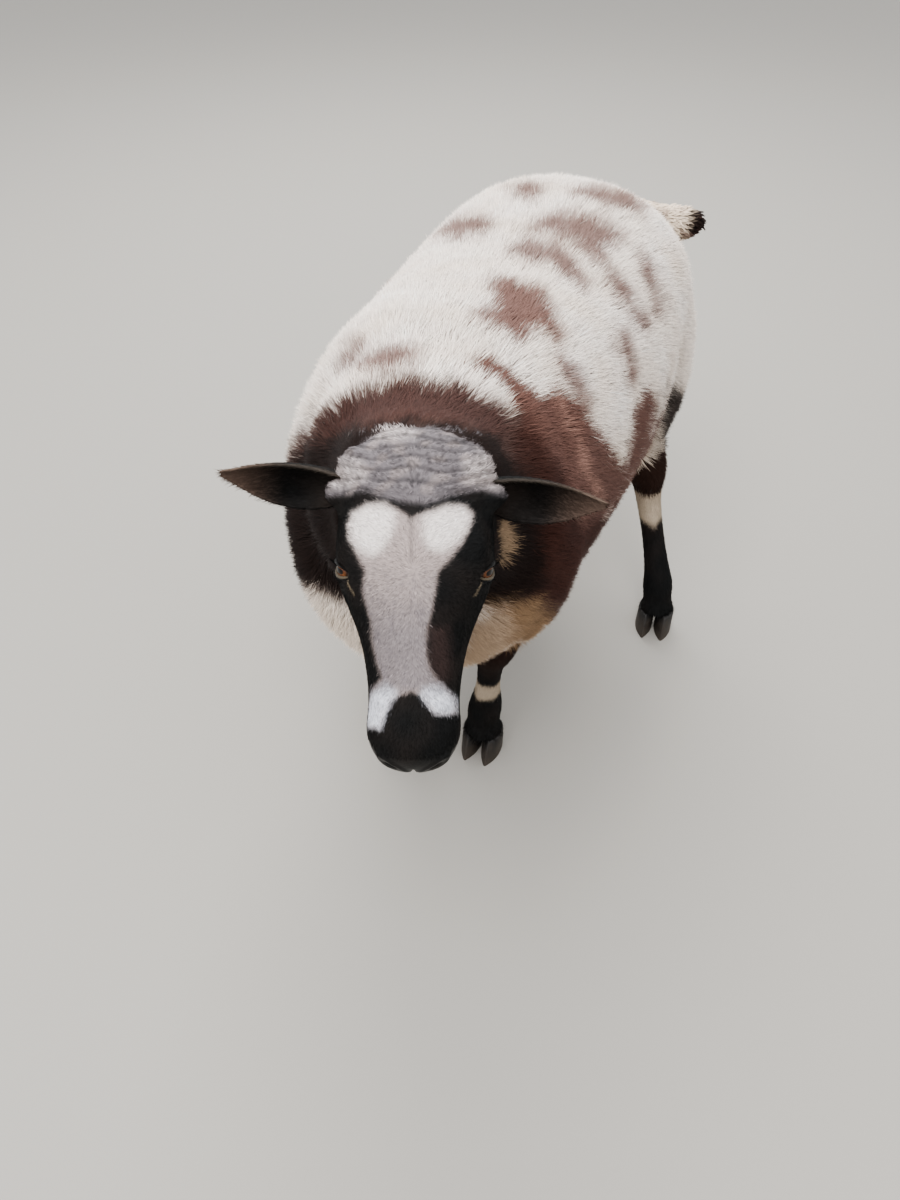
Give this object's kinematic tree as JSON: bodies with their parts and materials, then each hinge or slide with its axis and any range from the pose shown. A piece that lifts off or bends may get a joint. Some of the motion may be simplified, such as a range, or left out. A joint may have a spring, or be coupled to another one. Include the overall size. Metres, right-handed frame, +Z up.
{
  "type": "dutch spotted ram",
  "caption": "Life-size still model of a polled spotted ram standing on four cloven feet, its head lowered and turned to its left.",
  "frame": {"origin": "on the floor, under the middle of the box round the ram", "axes": "the ram faces -Y, its left side is +X and +Z is up"},
  "size_m": [0.4984, 1.0466, 0.7268],
  "materials": {
    "fleece": "short dense wool, off-white with brown spots",
    "neck_wool": "short dense wool, dark brown",
    "face": "short flat hair, black with a white blaze",
    "ears": "short flat hair, black",
    "eyes": "wet amber",
    "legs": "short flat hair, black with pale bands",
    "hooves": "dull black horn",
    "skin": "soft, thinly haired"
  },
  "bodies": {
    "root": {"torso": "fleece", "neck": "neck_wool", "head": "face", "ear_left": "ears", "ear_right": "ears", "eye_left": "eyes", "eye_right": "eyes", "foreleg_left": "legs", "foreleg_right": "legs", "hindleg_left": "legs", "hindleg_right": "legs", "hoof_fore_left_outer": "hooves", "hoof_fore_left_inner": "hooves", "hoof_fore_right_outer": "hooves", "hoof_fore_right_inner": "hooves", "hoof_hind_left_outer": "hooves", "hoof_hind_left_inner": "hooves", "hoof_hind_right_outer": "hooves", "hoof_hind_right_inner": "hooves", "tail": "fleece", "scrotum": "skin"}
  },
  "joints": []
}
